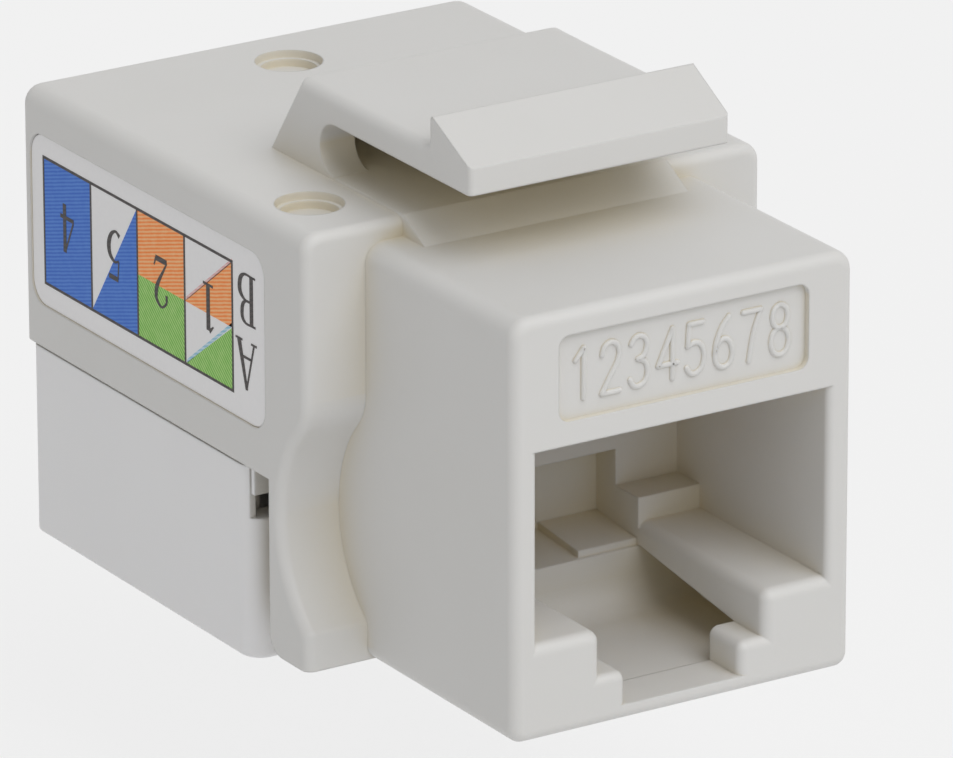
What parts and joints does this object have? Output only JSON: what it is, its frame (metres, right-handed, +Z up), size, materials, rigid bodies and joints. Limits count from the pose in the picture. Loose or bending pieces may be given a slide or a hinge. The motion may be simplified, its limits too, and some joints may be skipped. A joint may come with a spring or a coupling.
{
  "type": "keystone jack",
  "caption": "Snap-in network jack with a plug socket in the front, spring contacts, a flexing latch arm on top and a capped wire block behind.",
  "frame": {"origin": "centre of the front block's face, the middle of the panel opening that it fills", "axes": "+X to the right seen from the front, +Y from the face to the rear, +Z up towards the latch"},
  "size_m": [0.0196, 0.0304, 0.0222],
  "materials": {
    "housing_plastic": "satin",
    "cap_plastic": "satin",
    "block_plastic": "satin",
    "carrier_plastic": "satin",
    "board_laminate": "gloss",
    "label_film": "matte",
    "contact_metal": "polished",
    "blade_metal": "satin"
  },
  "bodies": {
    "jack": {"housing": "housing_plastic", "contact_carrier": "carrier_plastic", "circuit_board": "board_laminate", "idc_block": "block_plastic", "wiring_label_left": "label_film", "wiring_label_right": "label_film", "contact_leg_1": "contact_metal", "contact_leg_2": "contact_metal", "contact_leg_3": "contact_metal", "contact_leg_4": "contact_metal", "contact_leg_5": "contact_metal", "contact_leg_6": "contact_metal", "contact_leg_7": "contact_metal", "contact_leg_8": "contact_metal", "idc_blade_1": "blade_metal", "idc_blade_2": "blade_metal", "idc_blade_3": "blade_metal", "idc_blade_4": "blade_metal", "idc_blade_5": "blade_metal", "idc_blade_6": "blade_metal", "idc_blade_7": "blade_metal", "idc_blade_8": "blade_metal"},
    "latch": {"latch_arm": "housing_plastic"},
    "cap": {"dust_cap": "cap_plastic"},
    "contact_1": {"contact_beam_1": "contact_metal"},
    "contact_2": {"contact_beam_2": "contact_metal"},
    "contact_3": {"contact_beam_3": "contact_metal"},
    "contact_4": {"contact_beam_4": "contact_metal"},
    "contact_5": {"contact_beam_5": "contact_metal"},
    "contact_6": {"contact_beam_6": "contact_metal"},
    "contact_7": {"contact_beam_7": "contact_metal"},
    "contact_8": {"contact_beam_8": "contact_metal"}
  },
  "joints": [
    {"name": "latch_flex", "type": "hinge", "parent": "jack", "child": "latch", "pos_m": [0, 0.01524, 0.01142], "axis": [1, 0, 0], "range_deg": [0, 9], "stiffness_Nm_per_rad": 0.8},
    {"name": "cap_pull_off", "type": "slide", "parent": "jack", "child": "cap", "axis": [0, 0, -1], "range_m": [0, 0.0085]},
    {"name": "contact_1_flex", "type": "hinge", "parent": "jack", "child": "contact_1", "pos_m": [-0.00356, 0.00324, 0.00354], "axis": [1, 0, 0], "range_deg": [0, 12], "stiffness_Nm_per_rad": 0.03},
    {"name": "contact_2_flex", "type": "hinge", "parent": "jack", "child": "contact_2", "pos_m": [-0.00254, 0.00324, 0.00354], "axis": [1, 0, 0], "range_deg": [0, 12], "stiffness_Nm_per_rad": 0.03},
    {"name": "contact_3_flex", "type": "hinge", "parent": "jack", "child": "contact_3", "pos_m": [-0.00152, 0.00324, 0.00354], "axis": [1, 0, 0], "range_deg": [0, 12], "stiffness_Nm_per_rad": 0.03},
    {"name": "contact_4_flex", "type": "hinge", "parent": "jack", "child": "contact_4", "pos_m": [-0.00051, 0.00324, 0.00354], "axis": [1, 0, 0], "range_deg": [0, 12], "stiffness_Nm_per_rad": 0.03},
    {"name": "contact_5_flex", "type": "hinge", "parent": "jack", "child": "contact_5", "pos_m": [0.00051, 0.00324, 0.00354], "axis": [1, 0, 0], "range_deg": [0, 12], "stiffness_Nm_per_rad": 0.03},
    {"name": "contact_6_flex", "type": "hinge", "parent": "jack", "child": "contact_6", "pos_m": [0.00152, 0.00324, 0.00354], "axis": [1, 0, 0], "range_deg": [0, 12], "stiffness_Nm_per_rad": 0.03},
    {"name": "contact_7_flex", "type": "hinge", "parent": "jack", "child": "contact_7", "pos_m": [0.00254, 0.00324, 0.00354], "axis": [1, 0, 0], "range_deg": [0, 12], "stiffness_Nm_per_rad": 0.03},
    {"name": "contact_8_flex", "type": "hinge", "parent": "jack", "child": "contact_8", "pos_m": [0.00356, 0.00324, 0.00354], "axis": [1, 0, 0], "range_deg": [0, 12], "stiffness_Nm_per_rad": 0.03}
  ]
}
